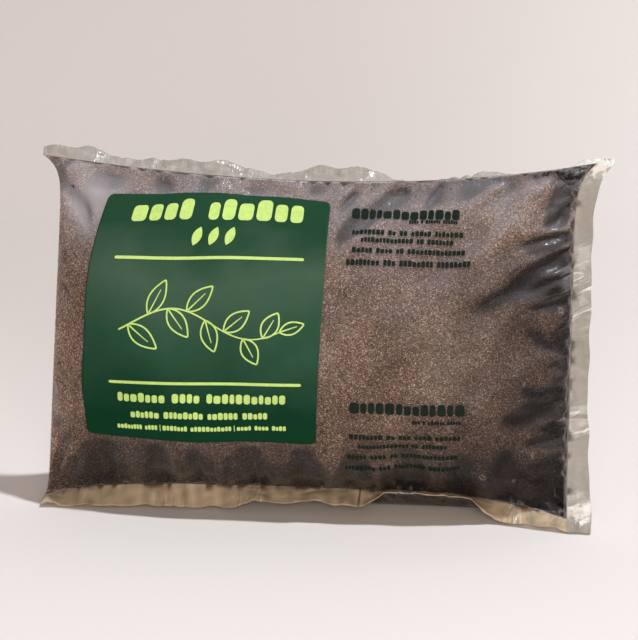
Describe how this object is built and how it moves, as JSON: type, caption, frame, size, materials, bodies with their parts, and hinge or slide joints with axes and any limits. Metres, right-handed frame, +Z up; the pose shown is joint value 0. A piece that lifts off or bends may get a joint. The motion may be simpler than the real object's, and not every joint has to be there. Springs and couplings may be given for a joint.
{
  "type": "compost bag",
  "caption": "Clear film pillow bag full of dark compost, welded along its edges with flat fins, standing on its long side, with a plain green label on its front.",
  "frame": {"origin": "middle of the bag's box, on the floor that it stands on", "axes": "+X along the bag's long side towards the welded end, -Y out of the labelled front, +Z up"},
  "size_m": [0.524, 0.145, 0.328],
  "materials": {
    "film": "clear, thin and glossy, with fine creases",
    "compost": "loose dark brown grains with pale flecks, matt",
    "label": "dark green print under a satin coat"
  },
  "bodies": {
    "root": {"film": "film", "compost": "compost", "label": "label"}
  },
  "joints": []
}
